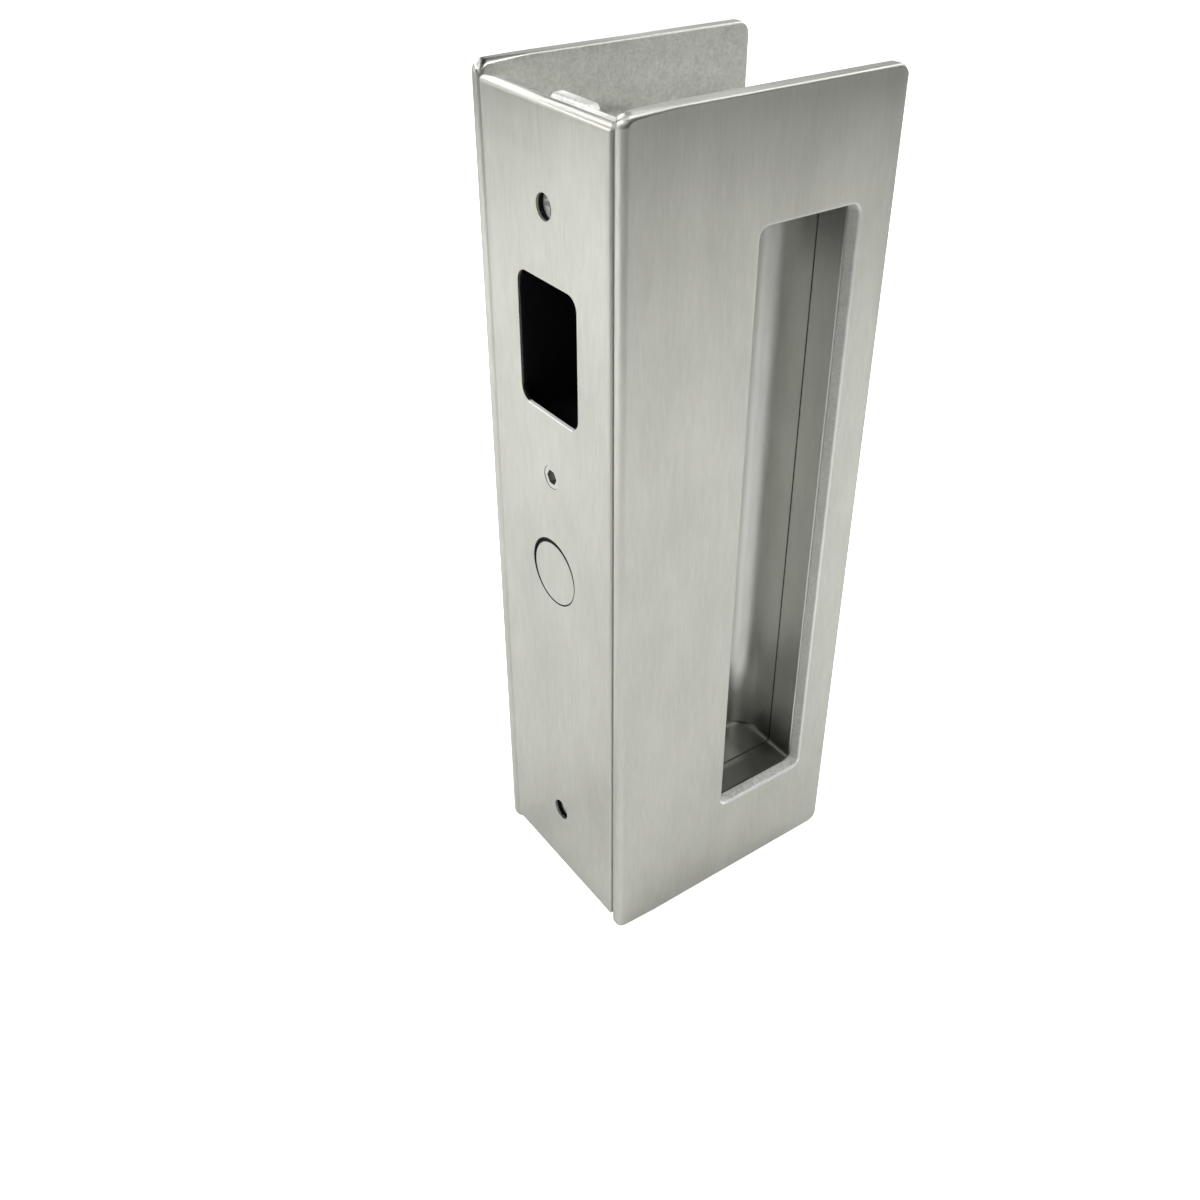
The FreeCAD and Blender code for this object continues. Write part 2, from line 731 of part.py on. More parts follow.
def flush_screw():
    """The headless hex-socket screw that pins the edge plate to the insert."""
    start = point(0, flush_screw_sink, flush_screw_height_at)
    end = point(0, flush_screw_length, flush_screw_height_at)
    screw = rod(flush_screw_radius, start, end)
    reach = flush_screw_hex / math.sqrt(3)
    corners = []
    for corner in range(7):
        turn = math.pi / 3 * corner
        corners.append(start + FreeCAD.Vector(reach * math.cos(turn), 0, reach * math.sin(turn)))
    socket = Part.Face(Part.makePolygon(corners)).extrude(FreeCAD.Vector(0, flush_screw_hex_depth, 0))
    return screw.cut(socket)


def rim_screws():
    """The countersunk screws through one rim's flange into its side plate."""
    screws = []
    for depth, z in rim_screw_places():
        start = point(inner_face - rim_flange_thickness, depth, z)
        neck = start + FreeCAD.Vector(rim_screw_head_depth, 0, 0)
        tip = point(inner_face + rim_screw_bite, depth, z)
        screw = cone(rim_screw_head_radius, rim_screw_radius, start, neck)
        screw = screw.fuse(rod(rim_screw_radius, neck, tip)).removeSplitter()
        slot = block(start.x - overrun, start.x + rim_screw_slot_depth, depth - rim_screw_head_radius,
                     depth + rim_screw_head_radius, z - rim_screw_slot / 2, z + rim_screw_slot / 2)
        screws.append(screw.cut(slot))
    return screws


def core_dowels():
    """The two dowels that run through the core's end blocks into both rims."""
    reach = core_side + dowel_reach
    dowels = []
    for z in dowel_heights():
        dowel = rod(dowel_radius, point(-reach, recess_setback, z), point(reach, recess_setback, z))
        ends = [edge for edge in dowel.Edges if edge.BoundBox.XMax - edge.BoundBox.XMin < 1e-4]
        dowels.append(dowel.makeChamfer(dowel_end_break, ends))
    return dowels


def build():
    """Every piece of the handle by name."""
    heights = clamp_heights()
    rim = pull_rim()
    screws = rim_screws()
    return {
        "side_plate_right": side_plate_right(),
        "side_plate_left": side_plate_left(),
        "edge_plate": edge_plate(),
        "pull_rim_right": rim,
        "pull_rim_left": mirrored(rim),
        "core_body": core_body(),
        "finger_insert": finger_insert(),
        "flush_screw": flush_screw(),
        "plunger_cap": plunger_cap(),
        "plunger_magnet": plunger_magnet(),
        "plunger_bush": plunger_bush(),
        "plunger_spring": plunger_spring(),
        "upper_clamp_screw": clamp_screw(heights["upper"]),
        "lower_clamp_screw": clamp_screw(heights["lower"]),
        "upper_clamp_nut": clamp_nut(heights["upper"]),
        "lower_clamp_nut": clamp_nut(heights["lower"]),
        "rim_screws_right": Part.makeCompound(screws),
        "rim_screws_left": Part.makeCompound([mirrored(screw) for screw in screws]),
        "core_dowels": Part.makeCompound(core_dowels()),
    }


os.makedirs("parts", exist_ok=True)
for name, shape in build().items():
    shape.exportStep("parts/" + name + ".step")
    print(name, len(shape.Solids), round(shape.Volume, 1), shape.isValid())
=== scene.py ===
"""Finishes, return spring, light and camera for the pocket door handle, built round its solids."""

import math
from functools import reduce

import bpy
import numpy as np
from mathutils import Euler, Matrix, Vector


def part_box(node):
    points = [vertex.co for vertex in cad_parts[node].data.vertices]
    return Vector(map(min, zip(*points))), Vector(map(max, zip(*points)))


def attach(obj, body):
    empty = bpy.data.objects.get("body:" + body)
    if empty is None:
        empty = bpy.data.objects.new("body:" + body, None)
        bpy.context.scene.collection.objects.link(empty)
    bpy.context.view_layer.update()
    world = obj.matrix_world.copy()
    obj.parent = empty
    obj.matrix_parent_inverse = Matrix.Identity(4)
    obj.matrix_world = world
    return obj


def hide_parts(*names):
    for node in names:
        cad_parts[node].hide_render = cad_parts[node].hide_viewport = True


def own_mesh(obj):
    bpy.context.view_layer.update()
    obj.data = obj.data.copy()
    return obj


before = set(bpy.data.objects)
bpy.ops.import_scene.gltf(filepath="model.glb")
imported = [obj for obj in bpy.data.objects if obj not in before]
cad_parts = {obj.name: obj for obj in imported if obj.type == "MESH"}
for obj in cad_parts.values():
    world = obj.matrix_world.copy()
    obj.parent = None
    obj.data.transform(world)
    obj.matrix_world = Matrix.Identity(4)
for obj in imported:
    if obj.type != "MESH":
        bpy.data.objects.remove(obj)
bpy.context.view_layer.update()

MM = 0.001

# Colours, in pairs of a dark and a light tone where the grain of a surface runs between them

NICKEL = ((0.530, 0.534, 0.482, 1.0), (0.600, 0.603, 0.548, 1.0))
PLAIN_NICKEL = ((0.680, 0.683, 0.648, 1.0), (0.900, 0.903, 0.865, 1.0))
CUT_NICKEL = ((0.720, 0.722, 0.680, 1.0), (0.900, 0.902, 0.860, 1.0))
CASTING = ((0.555, 0.558, 0.525, 1.0), (0.630, 0.634, 0.598, 1.0))
BLACK_PLASTIC = ((0.004, 0.004, 0.004, 1.0), (0.012, 0.012, 0.012, 1.0))
BRIGHT_STEEL = ((0.500, 0.500, 0.460, 1.0), (0.660, 0.660, 0.620, 1.0))
HEAD_STEEL = ((0.740, 0.740, 0.710, 1.0), (0.900, 0.900, 0.870, 1.0))
ZINC = ((0.520, 0.550, 0.580, 1.0), (0.680, 0.710, 0.740, 1.0))
MAGNET_PLATING = ((0.600, 0.580, 0.540, 1.0), (0.720, 0.700, 0.660, 1.0))
BRASS = ((0.560, 0.400, 0.160, 1.0), (0.760, 0.570, 0.270, 1.0))
SPRING_STEEL = ((0.420, 0.420, 0.420, 1.0), (0.580, 0.580, 0.580, 1.0))
RUBBED_NICKEL = CUT_NICKEL[0]
# White of the random specks in the plating grain, and of the painted highlights and painted glints on
# the lips of the pull mouths and the window
PAINTED_GLINT_AND_SPECK_WHITE = (1.000, 1.000, 0.980, 1.0)
# Black painted shade in the holes of the edge plate and round the disc
PAINTED_SHADE_BLACK = (0.020, 0.020, 0.020, 1.0)
# Lighter colour for the painted light inside the pulls
CASTING_PAINTED_LIGHT = (0.850, 0.854, 0.810, 1.0)
# Darker colour for the painted shade inside the pulls
CASTING_PAINTED_SHADE = (0.170, 0.172, 0.160, 1.0)
SEAM_DIRT = (0.120, 0.120, 0.105, 1.0)

# Roughness under the dark and under the light tone, and the depths of bumps

BRUSHED_ROUGH = (0.35, 0.29)
PLAIN_ROUGH = (0.62, 0.50)
CASTING_ROUGH = (0.38, 0.32)
PLASTIC_ROUGH = (0.32, 0.46)
BRUSH_DEPTH = 0.004 * MM
CASTING_DEPTH = 0.006 * MM
SPARK_DEPTH = 0.010 * MM
PLAIN_DEPTHS = 12.0

# How much wear and cuts change a surface, and how strong the painted glints, highlights, light and shade
# are

WEAR_WIDTH = 1.5 * MM
WEAR_TINTS = 0.5
WEAR_DULLS = 0.24
CUT_DULLS = 0.32
# Roughness added under the black painted shade
SHADE_PATCH_DULLS = 0.2
# Painted glints on the lower cut edges: added roughness, metal taken away, and where their patches lie
GLINT_DULLS = 0.6
GLINT_UNPLATES = 0.9
GLINT_PATCHES = (0.42, 0.62)
GLINT_SHARES = (0.25, 0.95)
# Strength of the painted highlight on the lip behind and elsewhere
LIP_SHINE_BEHIND = 0.4
LIP_SHINE_ELSEWHERE = 0.12
# Painted light on the rounding of a pull, away from its floor
ROUNDING_SHINE_OUTSIDE = 0.4
# Strength of the painted shade on the end walls and at both ends of the back wall
END_WALL_PAINTED_SHADE = 0.95
END_WALL_PAINTED_SHADE_IN_FRONT = 0.1
BACK_WALL_PAINTED_SHADE = 0.75

# Noise: how fine it is, how far it is stretched along Z, and where its shade mostly lies

SHADE_REACH = (0.3, 0.7)
HAIR_SQUEEZE = (1.0, 1.0, 0.085)
STREAKS_A_MM = 0.9
STREAK_SQUEEZE = (1.0, 1.0, 0.14)
CLOUDS_A_MM = 0.09
CLOUD_SQUEEZE = (1.0, 1.0, 0.45)
PATCHES_A_MM = 0.35
WEAR_PATCHES_A_METRE = 260.0
SPARKLE_CHANCE = (0.88, 0.95)
SPECK_EDGE = (0.12, 0.38)

# Places on the handle: X across the door, Y from the edge plate into the door, Z up

HANDLE_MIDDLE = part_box("side_plate_right")[1][2] / 2
SEAM_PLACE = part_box("core_body")[1][0]
SEAM_FADE = (0.10 * MM, 0.26 * MM)
RIM_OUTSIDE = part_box("pull_rim_right")[1][0]
PLATE_BACK = RIM_OUTSIDE + 0.05 * MM

RIM_WALL = 2.0 * MM
MOUTH_HALF_DEPTH = 10.7 * MM
MOUTH_HALF_HEIGHT = 61.65 * MM
MOUTH_CORNER = 1.8 * MM
MOUTH_WALL_MARGIN = 0.04 * MM
MOUTH_ROUNDING = 0.42 * MM
MOUTH_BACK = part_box("pull_rim_right")[1][1] - RIM_WALL
MOUTH_PLACE = MOUTH_BACK - MOUTH_HALF_DEPTH
MOUTH_FOOT = HANDLE_MIDDLE - MOUTH_HALF_HEIGHT
MOUTH_LOWER_FADE = (MOUTH_FOOT + 0.9 * MM, MOUTH_FOOT + 2.2 * MM)
MOUTH_BACK_FADE = (MOUTH_BACK - 1.6 * MM, MOUTH_BACK - 0.6 * MM)

EDGE_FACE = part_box("edge_plate")[0][1]
EDGE_MARGIN_X = 1.0 * MM
EDGE_MARGIN_Z = 2.0 * MM
HOLE_SHADE_DEPTH = 0.45 * MM
WINDOW_BOTTOM = 111.1 * MM
WINDOW_LIP_MIDDLE = 0.1 * MM
WINDOW_LIP_REACH = 6.7 * MM
WINDOW_LIP_HEIGHT = 0.3 * MM
WINDOW_LIP_DEPTH = 0.6 * MM

DISC_HEIGHT = (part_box("plunger_magnet")[0][2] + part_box("plunger_magnet")[1][2]) / 2
DISC_RADIUS = 6.45 * MM
DISC_GAP_SHIFT = 0.12 * MM
DISC_GAP_WIDTH = 0.32 * MM
DISC_RIM_WIDTH = 0.22 * MM

# Where the painted light and painted shade of a pull fade: X from the middle of the web between the
# pulls, Y and Z as places, and the end walls by their distance from the middle of the pull

PULL_MARGIN_Y = 0.15 * MM
PULL_MARGIN_Z = 0.5 * MM
FLOOR_FADE = (2.1 * MM, 2.7 * MM)
FLOOR_FRONT_FADE = (16.8 * MM, 17.8 * MM)
FOOT_FADE = (44.0 * MM, 33.0 * MM)
ROUNDING_FADE = (5.0 * MM, 10.0 * MM)
END_WALL_FADE = (60.9 * MM, 61.6 * MM)
END_WALL_DEPTHS = (1.0 * MM, 13.0 * MM)
END_WALL_WIDTHS = (9.0 * MM, 13.0 * MM)
BACK_WALL_FADE = (4.5 * MM, 9.0 * MM)
BACK_WALL_TOP_FADE = (127.0 * MM, 142.0 * MM)
BACK_WALL_FOOT_FADE = (31.0 * MM, 22.0 * MM)

# The return spring, inside the box of the one that it replaces. Its seat is at its back.

WIRE_RADIUS = 0.35 * MM
SPRING_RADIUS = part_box("plunger_spring")[1][0] - WIRE_RADIUS
SPRING_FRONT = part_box("plunger_spring")[0][1] + WIRE_RADIUS
SPRING_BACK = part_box("plunger_spring")[1][1] - WIRE_RADIUS
OPEN_TURNS = 4.5
CLOSED_TURNS = 1.0
CLOSED_PITCH = 0.82 * MM
STEPS_A_TURN = 32
STEPS_ROUND_WIRE = 14


# Small helpers for node trees

def feed(tree, socket, value):
    """Gives a socket a number, a colour, or the output of another node."""
    if isinstance(value, bpy.types.NodeSocket):
        tree.links.new(value, socket)
    else:
        socket.default_value = value


def put(tree, kind, inputs=None, **settings):
    """Adds a node, with its settings and its inputs by name or number."""
    made = tree.nodes.new("ShaderNode" + kind)
    for name, value in settings.items():
        setattr(made, name, value)
    for key, value in (inputs or {}).items():
        feed(tree, made.inputs[key], value)
    return made


def sums(tree, operation, *values, clamp=False):
    """One step of arithmetic on numbers."""
    return put(tree, "Math", dict(enumerate(values)), operation=operation, use_clamp=clamp).outputs[0]


def times(tree, *values):
    """The product of some numbers. Of masks, it is where all of them are."""
    return reduce(lambda first, second: sums(tree, "MULTIPLY", first, second), values)


def largest(tree, *values):
    """The largest of some numbers. Of masks, it is where any of them is."""
    return reduce(lambda first, second: sums(tree, "MAXIMUM", first, second), values)


def apart(tree, value, place):
    """How far a number is from a place, on either side of it."""
    return sums(tree, "ABSOLUTE", sums(tree, "SUBTRACT", value, place))


def within(tree, value, centre, half):
    """1 where a value is nearer to centre than half, otherwise 0."""
    return sums(tree, "LESS_THAN", apart(tree, value, centre), half)


def vectors(tree, operation, *values):
    """One step of arithmetic on vectors."""
    return put(tree, "VectorMath", dict(enumerate(values)), operation=operation).outputs[0]


def in_millimetres(tree, point):
    """A place in millimetres instead of metres."""
    return put(tree, "VectorMath", {0: point, "Scale": 1 / MM}, operation="SCALE").outputs[0]


def split(tree, vector):
    """The three parts of a vector."""
    return put(tree, "SeparateXYZ", {0: vector}).outputs


def blend_colours(tree, share, first, second):
    """The first colour where share is 0 and the second where it is 1."""
    made = put(tree, "Mix", data_type="RGBA")
    for key, value in ((0, share), (6, first), (7, second)):
        feed(tree, made.inputs[key], value)
    return made.outputs[2]


def spread(tree, value, low, high, to_low, to_high, smooth=False):
    """Maps the range low..high of a value onto to_low..to_high, and holds it at both ends."""
    kind = "SMOOTHSTEP" if smooth else "LINEAR"
    inputs = {"Value": value, 1: low, 2: high, 3: to_low, 4: to_high}
    return put(tree, "MapRange", inputs, interpolation_type=kind, clamp=True).outputs[0]


def by_shade(tree, shade, to_low=0.0, to_high=1.0):
    """A value from to_low to to_high, where the shade of a noise goes from dark to light."""
    return spread(tree, shade, *SHADE_REACH, to_low, to_high)


def tint(tree, shade, tones):
    """A colour from the dark to the light tone, by the shade of a noise."""
    return blend_colours(tree, by_shade(tree, shade), *tones)


def noise(tree, place, scale, detail=2.0, roughness=0.5, squeeze=None):
    """Smooth noise from 0 to 1, with its lengths multiplied by squeeze first."""
    if squeeze is not None:
        place = vectors(tree, "MULTIPLY", place, squeeze)
    inputs = {"Vector": place, "Scale": scale, "Detail": detail, "Roughness": roughness}
    return put(tree, "TexNoise", inputs, noise_dimensions="3D").outputs["Fac"]


def node_group(name, inputs, outputs):
    """An empty shader node group with named inputs and outputs: (tree, its inputs, its outputs).

    An input is given as (name, kind, value) and an output as (name, kind).
    """
    tree = bpy.data.node_groups.new(name, "ShaderNodeTree")
    for label, kind, value in inputs:
        made = tree.interface.new_socket(label, in_out="INPUT", socket_type="NodeSocket" + kind)
        if value is not None:
            made.default_value = value
    for label, kind in outputs:
        tree.interface.new_socket(label, in_out="OUTPUT", socket_type="NodeSocket" + kind)
    taken = tree.nodes.new("NodeGroupInput").outputs
    given = tree.nodes.new("NodeGroupOutput").inputs
    return tree, taken, given


# Node groups that several finishes share

def brushed_lines_group():
    """Upright brushing: noise stretched along Z, fine hairs over wider streaks over soft clouds.

    Shade is 0.5 on average. Height is for a Bump node.
    """
    inputs = (("Point", "Vector", None), ("Hairs a mm", "Float", 3.0), ("Clouds", "Float", 0.65))
    outputs = (("Shade", "Float"), ("Height", "Float"))
    tree, taken, given = node_group("brushed_lines", inputs, outputs)
    mm = in_millimetres(tree, taken["Point"])
    hairs = noise(tree, mm, taken["Hairs a mm"], roughness=0.6, squeeze=HAIR_SQUEEZE)
    streaks = noise(tree, mm, STREAKS_A_MM, roughness=0.55, squeeze=STREAK_SQUEEZE)
    clouds = noise(tree, mm, CLOUDS_A_MM, squeeze=CLOUD_SQUEEZE)
    fine = sums(tree, "ADD", times(tree, hairs, 0.6), times(tree, streaks, 0.4))
    cloudy = sums(tree, "SUBTRACT", clouds, 0.5)
    shade = sums(tree, "MULTIPLY_ADD", cloudy, taken["Clouds"], fine, clamp=True)
    feed(tree, given["Shade"], shade)
    feed(tree, given["Height"], hairs)
    return tree


def plating_grain_group():
    """Plating grain: round specks from cell noise, a few of them bright, on fine even noise."""
    inputs = (("Point", "Vector", None), ("Grains a mm", "Float", 2.2))
    outputs = (("Shade", "Float"), ("Sparkle", "Float"), ("Height", "Float"))
    tree, taken, given = node_group("plating_grain", inputs, outputs)
    mm = in_millimetres(tree, taken["Point"])
    fine = noise(tree, mm, taken["Grains a mm"], detail=3.0, roughness=0.65)
    patches = noise(tree, mm, PATCHES_A_MM)
    cells = put(tree, "TexVoronoi", {"Vector": mm, "Scale": taken["Grains a mm"]}).outputs
    lucky = put(tree, "SeparateColor", {0: cells["Color"]}).outputs[0]
    chosen = spread(tree, lucky, *SPARKLE_CHANCE, 0.0, 1.0)
    near = spread(tree, cells["Distance"], *SPECK_EDGE, 1.0, 0.0)
    shade = sums(tree, "ADD", times(tree, fine, 0.75), times(tree, patches, 0.25))
    feed(tree, given["Shade"], shade)
    feed(tree, given["Sparkle"], times(tree, chosen, near))
    feed(tree, given["Height"], fine)
    return tree


def rubbed_edges_group():
    """Wear on the edges of a box: 1 where two of its faces are near, 0 further in than Width.

    The distances to the three faces are half size minus distance from the centre. The largest
    of their pairwise smallest values is the second smallest, which is small only on an edge.
    """
    inputs = (("Point", "Vector", None), ("Centre", "Vector", None), ("Half size", "Vector", None),
              ("Width", "Float", WEAR_WIDTH))
    tree, taken, given = node_group("rubbed_edges", inputs, (("Wear", "Float"),))
    away = vectors(tree, "ABSOLUTE", vectors(tree, "SUBTRACT", taken["Point"], taken["Centre"]))
    x, y, z = split(tree, vectors(tree, "SUBTRACT", taken["Half size"], away))
    nearer = [sums(tree, "MINIMUM", one, other) for one, other in ((x, y), (x, z), (y, z))]
    uneven = noise(tree, taken["Point"], WEAR_PATCHES_A_METRE, detail=3.0, roughness=0.6)
    reach = times(tree, taken["Width"], sums(tree, "ADD", uneven, 0.5))
    close = sums(tree, "DIVIDE", largest(tree, *nearer), reach)
    feed(tree, given["Wear"], spread(tree, close, 0.0, 1.0, 1.0, 0.0, smooth=True))
    return tree


def pull_mouth_group():
    """The mouth of a pull in a side plate: its cut Wall, the rounded Lip round it, Lower and Back side.

    The distance to the mouth's outline, a rectangle with round corners, is the length of
    max(|p - centre| - (half - r), 0), less r.
    """
    inputs = (("Point", "Vector", None),)
    outputs = (("Wall", "Float"), ("Lip", "Float"), ("Lower", "Float"), ("Back", "Float"))
    tree, taken, given = node_group("pull_mouth", inputs, outputs)
    flat = vectors(tree, "MULTIPLY", taken["Point"], (0.0, 1.0, 1.0))
    centre = (0.0, MOUTH_PLACE, HANDLE_MIDDLE)
    away = vectors(tree, "ABSOLUTE", vectors(tree, "SUBTRACT", flat, centre))
    straight = (0.0, MOUTH_HALF_DEPTH - MOUTH_CORNER, MOUTH_HALF_HEIGHT - MOUTH_CORNER)
    past = vectors(tree, "MAXIMUM", vectors(tree, "SUBTRACT", away, straight), (0.0, 0.0, 0.0))
    reach = put(tree, "VectorMath", {0: past}, operation="LENGTH").outputs["Value"]
    wall = sums(tree, "LESS_THAN", reach, MOUTH_CORNER + MOUTH_WALL_MARGIN)
    rounded = sums(tree, "LESS_THAN", reach, MOUTH_CORNER + MOUTH_ROUNDING)
    y, z = split(tree, taken["Point"])[1:]
    feed(tree, given["Wall"], wall)
    feed(tree, given["Lip"], sums(tree, "SUBTRACT", rounded, wall))
    feed(tree, given["Lower"], spread(tree, z, *MOUTH_LOWER_FADE, 1.0, 0.0))
    feed(tree, given["Back"], spread(tree, y, *MOUTH_BACK_FADE, 0.0, 1.0))
    return tree


def disc_ring_group():
    """The distance from the disc's centre line, which is moved by Shift along X and against Z."""
    inputs = (("Point", "Vector", None), ("Shift", "Float", 0.0))
    tree, taken, given = node_group("disc_ring", inputs, (("Distance", "Float"),))
    flat = vectors(tree, "MULTIPLY", taken["Point"], (1.0, 0.0, 1.0))
    height = sums(tree, "SUBTRACT", DISC_HEIGHT, taken["Shift"])
    centre = put(tree, "CombineXYZ", {0: taken["Shift"], 2: height}).outputs[0]
    away = put(tree, "VectorMath", {0: flat, 1: centre}, operation="DISTANCE").outputs["Value"]
    feed(tree, given["Distance"], away)
    return tree


def patch_group():
    """A patch of another colour where Mask is 1. Dulls is added to the roughness there."""
    inputs = (("Mask", "Float", 0.0), ("Colour", "Color", None), ("Roughness", "Float", 0.5),
              ("Patch", "Color", None), ("Dulls", "Float", 0.0))
    outputs = (("Colour", "Color"), ("Roughness", "Float"))
    tree, taken, given = node_group("patch", inputs, outputs)
    colour = blend_colours(tree, taken["Mask"], taken["Colour"], taken["Patch"])
    rough = sums(tree, "MULTIPLY_ADD", taken["Mask"], taken["Dulls"], taken["Roughness"])
    feed(tree, given["Colour"], colour)
    feed(tree, given["Roughness"], rough)
    return tree


GROUPS = {"brushed_lines": brushed_lines_group, "plating_grain": plating_grain_group,
          "rubbed_edges": rubbed_edges_group, "pull_mouth": pull_mouth_group,
          "disc_ring": disc_ring_group, "patch": patch_group}


def use_group(tree, name, inputs):
    """Places a shared group, which is made when it is first asked for, in a material."""
    made = tree.nodes.new("ShaderNodeGroup")
    made.node_tree = bpy.data.node_groups.get(name) or GROUPS[name]()
    for key, value in inputs.items():
        feed(tree, made.inputs[key], value)
    return made.outputs


# Finishes

def start_finish(name, **constants):
    """A new material with one Principled shader: (material, tree, shader, object coordinates)."""
    made = bpy.data.materials.new(name)
    made.use_nodes = True
    tree = made.node_tree
    shader = next(node for node in tree.nodes if node.type == "BSDF_PRINCIPLED")
    for label, value in constants.items():
        shader.inputs[label].default_value = value
    point = tree.nodes.new("ShaderNodeTexCoord").outputs["Object"]
    return made, tree, shader, point


def end_finish(tree, shader, colour, rough, height, depth):
    """Feeds a shader its colour, its roughness and a bump as deep as depth, in metres."""
    bump = put(tree, "Bump", {"Height": height, "Distance": depth, "Strength": 1.0})
    feed(tree, shader.inputs["Base Color"], colour)
    feed(tree, shader.inputs["Roughness"], rough)
    feed(tree, shader.inputs["Normal"], bump.outputs[0])


def brushed_nickel(node, *details):
    """Satin nickel with upright brushing, lighter and duller on its rubbed edges.

    Each detail is a function that changes the look, which is the colour, roughness, height and
    metal share, at one place of the piece.
    """
    made, tree, shader, point = start_finish(node + "_nickel", Anisotropic=0.78)
    low, high = (np.array(corner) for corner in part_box(node))
    lines = use_group(tree, "brushed_lines", {"Point": point})
    wear = use_group(tree, "rubbed_edges", {
        "Point": point, "Centre": tuple((low + high) / 2), "Half size": tuple((high - low) / 2)})["Wear"]
    brushed = tint(tree, lines["Shade"], NICKEL)
    rough = by_shade(tree, lines["Shade"], *BRUSHED_ROUGH)
    look = {"colour": blend_colours(tree, times(tree, wear, WEAR_TINTS), brushed, RUBBED_NICKEL),
            "rough": sums(tree, "MULTIPLY_ADD", wear, WEAR_DULLS, rough),
            "height": lines["Height"],
            "metal": 1.0}
    for detail in details:
        detail(tree, point, look)
    feed(tree, shader.inputs["Metallic"], look["metal"])
    end_finish(tree, shader, look["colour"], look["rough"], look["height"], BRUSH_DEPTH)
    return made


def paint(tree, look, mask, colour, dulls):
    """Gives a look a patch of another colour where mask is 1, rougher by dulls."""
    patch = use_group(tree, "patch", {"Mask": mask, "Colour": look["colour"], "Patch": colour,
                                      "Roughness": look["rough"], "Dulls": dulls})
    look["colour"] = patch["Colour"]
    look["rough"] = patch["Roughness"]


def paint_white_glint(tree, look, mask):
    """Paints a glint where mask is 1: white, mostly not metal and so rough that it catches the light
    from all round, in place of the glint of a bare cut.
    """
    paint(tree, look, mask, PAINTED_GLINT_AND_SPECK_WHITE, GLINT_DULLS)
    look["metal"] = sums(tree, "MULTIPLY_ADD", mask, -GLINT_UNPLATES, look["metal"])


def plain_back(tree, point, look, grain):
    """A side plate's unbrushed back keeps its plating grain. Gives the mask of all that isn't back."""
    across = split(tree, point)[0]
    back = sums(tree, "LESS_THAN", sums(tree, "ABSOLUTE", across), PLATE_BACK)
    outside = sums(tree, "SUBTRACT", 1.0, back)
    plain = blend_colours(tree, grain["Sparkle"], tint(tree, grain["Shade"], PLAIN_NICKEL), PAINTED_GLINT_AND_SPECK_WHITE)
    rough = times(tree, by_shade(tree, grain["Shade"], *PLAIN_ROUGH), back)
    look["colour"] = blend_colours(tree, back, look["colour"], plain)
    look["rough"] = sums(tree, "ADD", times(tree, look["rough"], outside), rough)
    look["height"] = sums(tree, "ADD", look["height"], times(tree, grain["Height"], back, PLAIN_DEPTHS))
    return outside


def plate_back_and_mouth(tree, point, look):
    """A side plate's plain back, and the mouth of its pull, which is cut and then rounded.

    The lip gets a painted highlight, full below, weaker behind and faint elsewhere, and the lower wall
    of the cut gets patches of painted glint.
    """
    grain = use_group(tree, "plating_grain", {"Point": point, "Grains a mm": 1.6})
    mouth = use_group(tree, "pull_mouth", {"Point": point})
    wall = times(tree, mouth["Wall"], plain_back(tree, point, look, grain))
    paint(tree, look, wall, tint(tree, grain["Shade"], CUT_NICKEL), CUT_DULLS)
    # Painted highlight on the lip: full on the lower side, weaker behind, faint elsewhere
    lip_highlight = largest(tree, mouth["Lower"], times(tree, mouth["Back"], LIP_SHINE_BEHIND),
                  LIP_SHINE_ELSEWHERE)
    look["colour"] = blend_colours(tree, times(tree, mouth["Lip"], lip_highlight), look["colour"], PAINTED_GLINT_AND_SPECK_WHITE)
    # Painted glint in patches on the lower wall of the cut
    patches = spread(tree, grain["Shade"], *GLINT_PATCHES, *GLINT_SHARES)
    paint_white_glint(tree, look, times(tree, wall, mouth["Lower"], patches))


def paint_hole_shade(tree, point, look):
    """Paints shade black on the walls of the holes through the edge plate, and on the gap round the
    disc.

    The painted shade round the disc is wider at its upper left, where the gap is wider.
    """
    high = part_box("edge_plate")[1]
    x, y, z = split(tree, point)
    inside = times(tree, within(tree, x, 0.0, high[0] - EDGE_MARGIN_X),
                   within(tree, z, HANDLE_MIDDLE, high[2] - HANDLE_MIDDLE - EDGE_MARGIN_Z))
    deep = times(tree, inside, sums(tree, "GREATER_THAN", y, EDGE_FACE + HOLE_SHADE_DEPTH))
    distance = use_group(tree, "disc_ring", {"Point": point, "Shift": -DISC_GAP_SHIFT})["Distance"]
    ring = sums(tree, "LESS_THAN", distance, DISC_RADIUS + DISC_GAP_WIDTH)
    # Painted shade, black, in the holes and in the gap round the disc
    paint(tree, look, largest(tree, deep, ring), PAINTED_SHADE_BLACK, SHADE_PATCH_DULLS)


def paint_disc_rim_shade(tree, point, look):
    """Paints shade black on the outermost edge of the disc, wider at its upper left, where the gap
    beside it is wider.
    """
    distance = use_group(tree, "disc_ring", {"Point": point, "Shift": DISC_GAP_SHIFT})["Distance"]
    rim = sums(tree, "GREATER_THAN", distance, DISC_RADIUS - DISC_RIM_WIDTH)
    # Painted shade, black, on the edge of the disc beside the gap
    paint(tree, look, rim, PAINTED_SHADE_BLACK, SHADE_PATCH_DULLS)


def painted_window_glint(tree, point, look):
    """Paints a glint on the lower edge of the window: a white, rough patch where the light falls on its
    edge.
    """
    x, y, z = split(tree, point)
    edge = times(tree, within(tree, x, WINDOW_LIP_MIDDLE, WINDOW_LIP_REACH),
                 within(tree, z, WINDOW_BOTTOM, WINDOW_LIP_HEIGHT))
    front = sums(tree, "LESS_THAN", y, EDGE_FACE + WINDOW_LIP_DEPTH)
    # Painted glint on the lower edge of the window
    paint_white_glint(tree, look, times(tree, edge, front))


